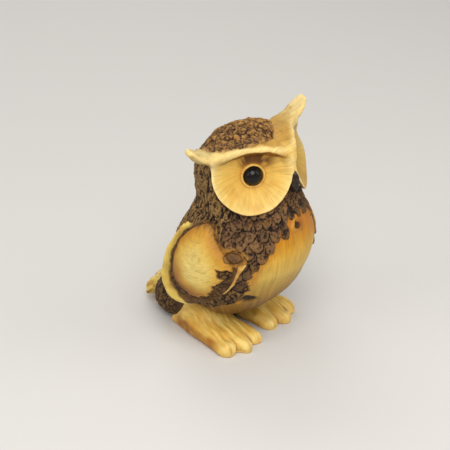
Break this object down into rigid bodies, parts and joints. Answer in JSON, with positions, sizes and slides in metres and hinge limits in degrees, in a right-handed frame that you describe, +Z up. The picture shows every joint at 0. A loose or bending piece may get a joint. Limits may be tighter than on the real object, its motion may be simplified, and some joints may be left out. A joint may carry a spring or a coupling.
{
  "type": "owl figurine",
  "caption": "Standing owl ornament in carved-wood-and-bark style resin, with cupped face discs, horned brow, bead eyes, folded wings, stub tail and broad clawed feet",
  "frame": {"origin": "on the ground between the owl's two feet, at the middle of its width and of its length from beak to tail", "axes": "+Z up and along the height, -Y the way the owl faces, +X towards the owl's own left wing"},
  "size_m": [0.0736, 0.0811, 0.0993],
  "materials": {
    "bark_and_belly": "cast polyresin painted as rough dark brown bark, with a smooth honey-gold to pale olive belly",
    "bark": "cast polyresin painted as rough bark, dark brown with tan highlights",
    "face_wood": "cast polyresin painted as bare carved wood, honey gold round the eye and cream at the edges, satin",
    "cream_tips": "cast polyresin painted pale cream, satin",
    "wing_wood": "cast polyresin painted as bare carved wood, pale yellow with orange-brown stained edges, satin",
    "foot_wood": "cast polyresin painted as bare carved wood, pale yellow ridges with orange grooves, satin",
    "eye_bead": "gloss black bead",
    "beak": "near-black, semi-gloss"
  },
  "bodies": {
    "root": {"torso": "bark_and_belly", "head": "bark", "face_mask": "face_wood", "brow_crest": "face_wood", "ear_tuft_right": "cream_tips", "ear_tuft_left": "cream_tips", "eye_right": "eye_bead", "eye_left": "eye_bead", "eyelid_right": "face_wood", "eyelid_left": "face_wood", "beak": "beak", "wing_base_right": "wing_wood", "wing_base_left": "wing_wood", "wing_pad_right": "wing_wood", "wing_pad_left": "wing_wood", "tail": "cream_tips", "foot_right": "foot_wood", "foot_left": "foot_wood"}
  },
  "joints": []
}
